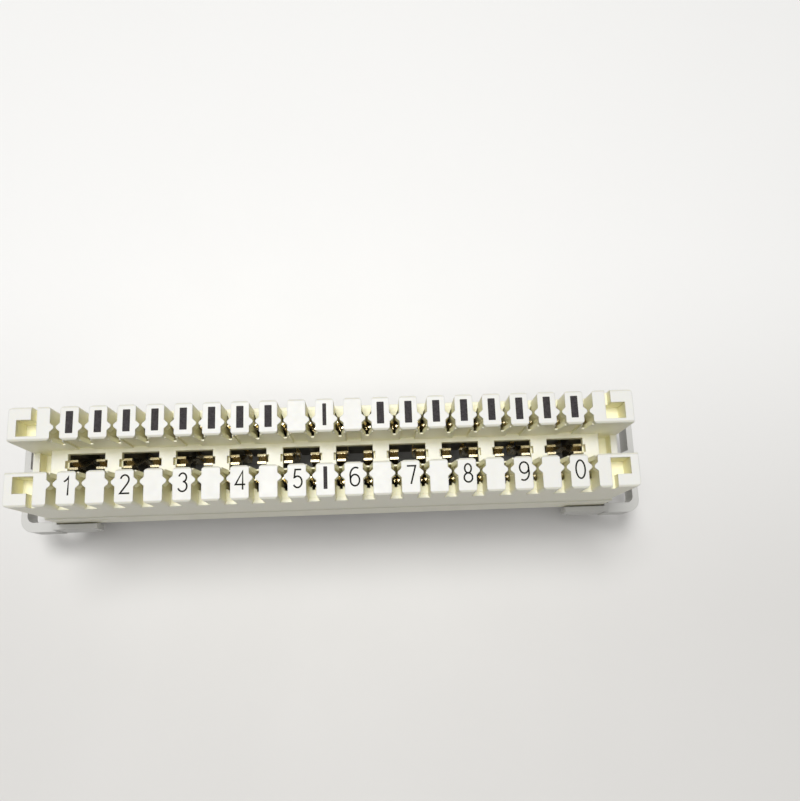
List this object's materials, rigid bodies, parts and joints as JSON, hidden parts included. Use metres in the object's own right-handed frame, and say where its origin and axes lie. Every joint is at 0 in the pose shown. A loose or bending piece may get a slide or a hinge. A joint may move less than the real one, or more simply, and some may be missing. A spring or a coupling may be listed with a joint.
{
  "type": "punch down wiring block",
  "caption": "Slim disconnection wiring block: two rows of punch down slots either side of a test channel, on a base with end loops, wire hooks and a cable hood.",
  "frame": {"origin": "centre of the mounting plane, where the rear faces of the two end blocks meet the frame", "axes": "+X along the block, +Y to the side with the T hooks, +Z out of the front face with the wire slots"},
  "size_m": [0.1344, 0.0222, 0.0462],
  "materials": {
    "housing": "smooth ivory moulding",
    "base": "fine satin light grey moulding",
    "contact": "stamped spring sheet"
  },
  "bodies": {
    "root": {"front_housing": "housing", "rear_base": "base", "upper_contact_01": "contact", "upper_contact_02": "contact", "upper_contact_03": "contact", "upper_contact_04": "contact", "upper_contact_05": "contact", "upper_contact_06": "contact", "upper_contact_07": "contact", "upper_contact_08": "contact", "upper_contact_09": "contact", "upper_contact_10": "contact", "upper_contact_11": "contact", "upper_contact_12": "contact", "upper_contact_13": "contact", "upper_contact_14": "contact", "upper_contact_15": "contact", "upper_contact_16": "contact", "upper_contact_17": "contact", "upper_contact_18": "contact", "upper_contact_19": "contact", "upper_contact_20": "contact", "lower_contact_01": "contact", "lower_contact_02": "contact", "lower_contact_03": "contact", "lower_contact_04": "contact", "lower_contact_05": "contact", "lower_contact_06": "contact", "lower_contact_07": "contact", "lower_contact_08": "contact", "lower_contact_09": "contact", "lower_contact_10": "contact", "lower_contact_11": "contact", "lower_contact_12": "contact", "lower_contact_13": "contact", "lower_contact_14": "contact", "lower_contact_15": "contact", "lower_contact_16": "contact", "lower_contact_17": "contact", "lower_contact_18": "contact", "lower_contact_19": "contact", "lower_contact_20": "contact"}
  },
  "joints": []
}
